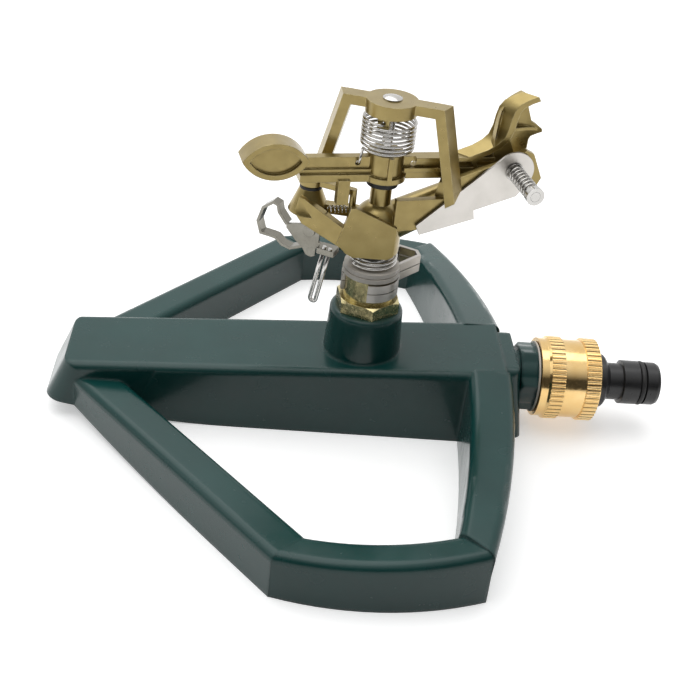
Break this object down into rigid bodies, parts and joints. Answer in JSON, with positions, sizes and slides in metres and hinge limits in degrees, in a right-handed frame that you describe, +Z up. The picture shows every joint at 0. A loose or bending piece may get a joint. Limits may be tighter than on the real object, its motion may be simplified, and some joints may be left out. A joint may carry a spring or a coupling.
{
  "type": "rotary sprinkler",
  "caption": "Impact sprinkler head on a cast sled base with two side loops; brass hose nut and snap-in plug at the rear.",
  "frame": {"origin": "on the floor under the riser axis, at the centre of the flat foot pad", "axes": "+X towards the hose inlet, +Y to the left loop seen from the nose towards the inlet, +Z up the riser"},
  "size_m": [0.228, 0.216, 0.1278],
  "materials": {
    "green_enamel": "gloss enamel over cast metal",
    "gold_lacquer": "satin gold-green lacquer over cast zinc",
    "brass_bright": "turned and polished",
    "brass_yellow": "yellow plated, bright",
    "steel_bright": "bright zinc plated",
    "steel_strip": "rolled strip",
    "black_plastic": "moulded",
    "black_rubber": "moulded",
    "white_plastic": "moulded"
  },
  "bodies": {
    "base": {"base_casting": "green_enamel", "inlet_nipple": "green_enamel", "nipple_washer": "white_plastic", "hose_washer": "black_rubber", "hose_plug": "black_plastic", "plug_ring": "black_rubber", "bearing_nut": "brass_yellow", "bearing_washer": "white_plastic"},
    "nut": {"hose_nut": "brass_bright"},
    "upper_collar": {"upper_stop_collar": "steel_strip"},
    "lower_collar": {"lower_stop_collar": "steel_strip"},
    "head": {"turning_tube": "steel_bright", "tube_seal": "black_rubber", "thrust_washer": "white_plastic", "bearing_spring": "steel_bright", "sprinkler_body": "gold_lacquer", "nozzle": "brass_bright", "pivot_pin": "steel_bright", "arm_washer": "black_rubber", "arm_spring": "steel_bright", "deflector_bolt": "steel_bright", "deflector_washer": "steel_bright", "deflector_spring": "steel_bright", "deflector_cap": "steel_bright", "latch_pin": "steel_bright", "latch_washer": "black_rubber", "trip_pin": "steel_bright", "trip_spring": "steel_bright"},
    "arm": {"impact_arm": "gold_lacquer", "arm_bushing": "white_plastic"},
    "deflector": {"deflector_sheet": "steel_bright"},
    "latch": {"reversing_latch": "gold_lacquer"},
    "trip": {"trip_lever": "steel_bright", "trip_hairpin": "steel_bright"}
  },
  "joints": [
    {"name": "hose_nut_spin", "type": "hinge", "parent": "base", "child": "nut", "pos_m": [0.0779, 0, 0.019], "axis": [1, 0, 0], "continuous": true},
    {"name": "upper_collar_turn", "type": "hinge", "parent": "base", "child": "upper_collar", "pos_m": [0, 0, 0.0574], "axis": [0, 0, 1], "range_deg": [-60, 60]},
    {"name": "lower_collar_turn", "type": "hinge", "parent": "base", "child": "lower_collar", "pos_m": [0, 0, 0.0539], "axis": [0, 0, 1], "range_deg": [-60, 60]},
    {"name": "head_turn", "type": "hinge", "parent": "base", "child": "head", "pos_m": [0, 0, 0.0622], "axis": [0, 0, 1], "range_deg": [-105, 180]},
    {"name": "arm_swing", "type": "hinge", "parent": "head", "child": "arm", "pos_m": [0, 0, 0.1014], "axis": [0, 0, 1], "range_deg": [0, 110], "stiffness_Nm_per_rad": 0.02, "springref_deg": -22.92, "deforming": ["arm_spring"]},
    {"name": "deflector_tilt", "type": "hinge", "parent": "head", "child": "deflector", "pos_m": [0.04449, -0.0001, 0.1023], "axis": [-0.2079, 0.9781, 0], "range_deg": [-20, 0]},
    {"name": "trip_swing", "type": "hinge", "parent": "head", "child": "trip", "pos_m": [-0.02296, -0.0036, 0.078], "axis": [0.4067, 0.9135, 0], "range_deg": [0, 20]},
    {"name": "latch_swing", "type": "hinge", "parent": "head", "child": "latch", "pos_m": [-0.02392, 0.00366, 0.0926], "axis": [0, 0, 1], "range_deg": [0, 22], "deforming": ["trip_spring"]}
  ],
  "couplings": [
    {"joint": "latch_swing", "follows": "trip_swing", "ratio": 1.1}
  ]
}
